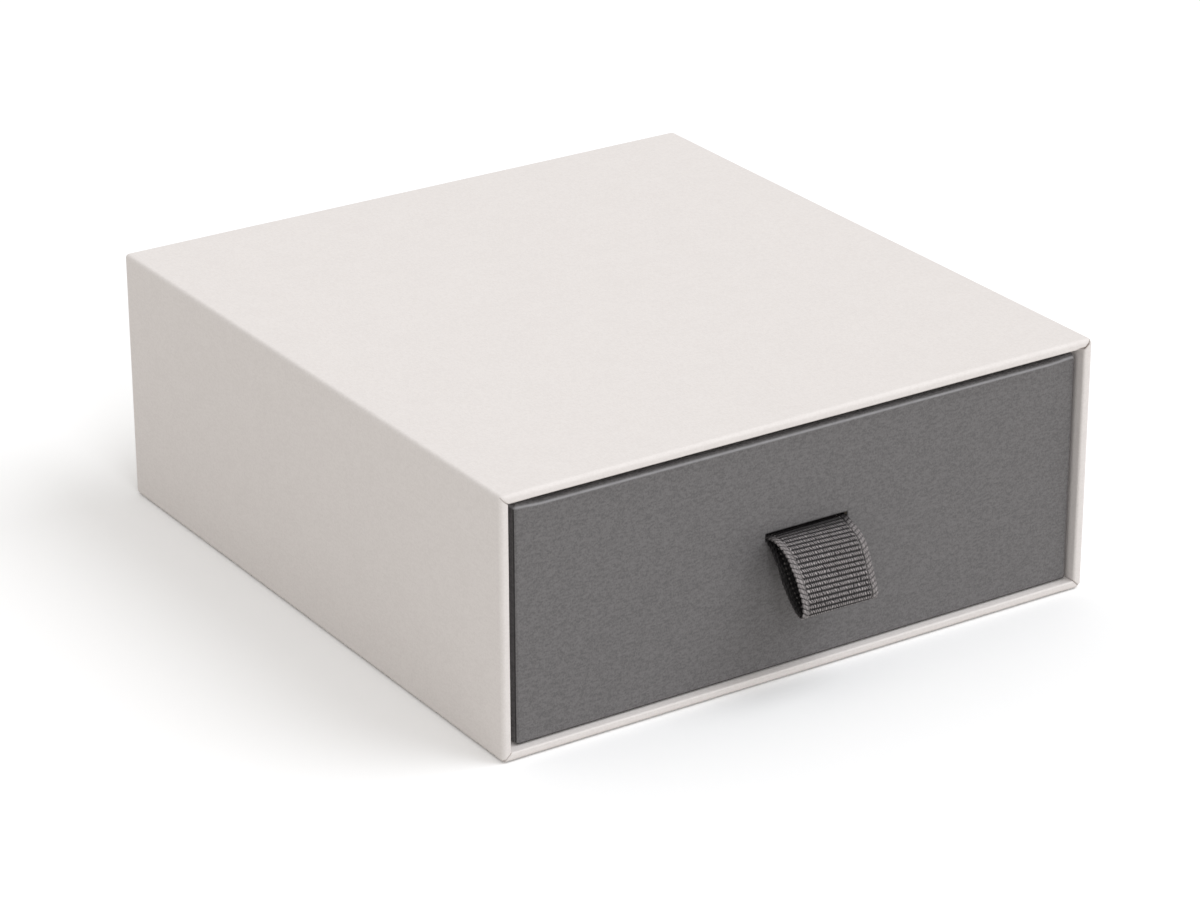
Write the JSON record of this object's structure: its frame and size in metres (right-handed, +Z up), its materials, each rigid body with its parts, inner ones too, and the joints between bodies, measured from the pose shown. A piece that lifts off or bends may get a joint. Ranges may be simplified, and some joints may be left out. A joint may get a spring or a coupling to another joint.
{
  "type": "sliding drawer gift box",
  "caption": "Rigid paper-covered gift box: an off-white sleeve with a dark grey tray that slides out of its open end, pulled by a ribbed ribbon loop through the tray's front.",
  "frame": {"origin": "middle of the sleeve's underside, on the surface that the box rests on", "axes": "+Z up, -Y out of the sleeve's mouth, the way the drawer slides out, +X to the right of someone who faces the mouth"},
  "size_m": [0.145, 0.1652, 0.0575],
  "materials": {
    "sleeve_paper": "matte",
    "lining_paper": "matte",
    "drawer_paper": "matte",
    "greyboard": "matte",
    "stay_tape": "matte",
    "ribbon": "matte"
  },
  "bodies": {
    "sleeve": {"sleeve_top_board": "greyboard", "sleeve_bottom_board": "greyboard", "sleeve_left_board": "greyboard", "sleeve_right_board": "greyboard", "sleeve_back_board": "greyboard", "sleeve_corner_stays": "stay_tape", "sleeve_wrap": "sleeve_paper", "sleeve_liner": "lining_paper", "sleeve_base_sheet": "sleeve_paper"},
    "drawer": {"drawer_bottom_board": "greyboard", "drawer_front_board": "greyboard", "drawer_back_board": "greyboard", "drawer_left_board": "greyboard", "drawer_right_board": "greyboard", "drawer_corner_stays": "stay_tape", "drawer_wrap": "drawer_paper", "drawer_floor_liner": "drawer_paper", "drawer_front_facing": "drawer_paper", "ribbon_upper_tail": "ribbon", "ribbon_lower_tail": "ribbon"},
    "pull": {"ribbon_loop": "ribbon"}
  },
  "joints": [
    {"name": "drawer_slide", "type": "slide", "parent": "sleeve", "child": "drawer", "axis": [0, -1, 0], "range_m": [0, 0.155]},
    {"name": "pull_loop", "type": "hinge", "parent": "drawer", "child": "pull", "pos_m": [0.00125, -0.07655, 0.03165], "axis": [-1, 0, 0], "range_deg": [-18, 55], "stiffness_Nm_per_rad": 0.001}
  ]
}
